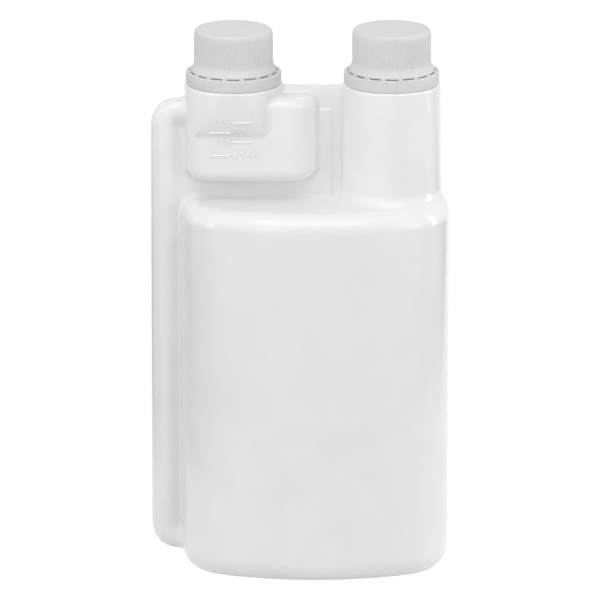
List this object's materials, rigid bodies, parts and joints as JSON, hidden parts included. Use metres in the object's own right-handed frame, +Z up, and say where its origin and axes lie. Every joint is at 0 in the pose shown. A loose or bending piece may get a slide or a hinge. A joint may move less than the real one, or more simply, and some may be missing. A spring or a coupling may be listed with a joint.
{
  "type": "dosing bottle",
  "caption": "Twin-neck dosing bottle: oval blown body with a filler neck, an outside filling tube and a graduated measuring chamber under a second neck, both closed by ribbed screw caps.",
  "frame": {"origin": "middle of the part's box in X and Y, on the floor that the standing ring rests on", "axes": "+Z up along both necks, +X from the measuring chamber towards the filler neck, -Y the front with the measuring marks"},
  "size_m": [0.119, 0.072, 0.2207],
  "materials": {
    "natural_hdpe": "translucent blown skin, satin",
    "white_cap_plastic": "moulded, satin",
    "liner_foam": "matt foam"
  },
  "bodies": {
    "bottle": {"bottle": "natural_hdpe", "filler_band": "white_cap_plastic", "dosing_band": "white_cap_plastic"},
    "filler_liner": {"filler_liner": "liner_foam"},
    "filler_cap": {"filler_cap": "white_cap_plastic"},
    "dosing_liner": {"dosing_liner": "liner_foam"},
    "dosing_cap": {"dosing_cap": "white_cap_plastic"}
  },
  "joints": [
    {"name": "filler_cap_lift", "type": "slide", "parent": "bottle", "child": "filler_liner", "axis": [0, 0, 1], "range_m": [0, 0.0065]},
    {"name": "filler_cap_turn", "type": "hinge", "parent": "filler_liner", "child": "filler_cap", "pos_m": [0.0365, 0, 0.2179], "axis": [0, 0, 1], "range_deg": [0, 720]},
    {"name": "dosing_cap_lift", "type": "slide", "parent": "bottle", "child": "dosing_liner", "axis": [0, 0, 1], "range_m": [0, 0.0065]},
    {"name": "dosing_cap_turn", "type": "hinge", "parent": "dosing_liner", "child": "dosing_cap", "pos_m": [-0.0265, 0, 0.2179], "axis": [0, 0, 1], "range_deg": [0, 720]}
  ],
  "couplings": [
    {"joint": "filler_cap_lift", "follows": "filler_cap_turn", "m_per_rad": 0.0005093},
    {"joint": "dosing_cap_lift", "follows": "dosing_cap_turn", "m_per_rad": 0.0005093}
  ]
}
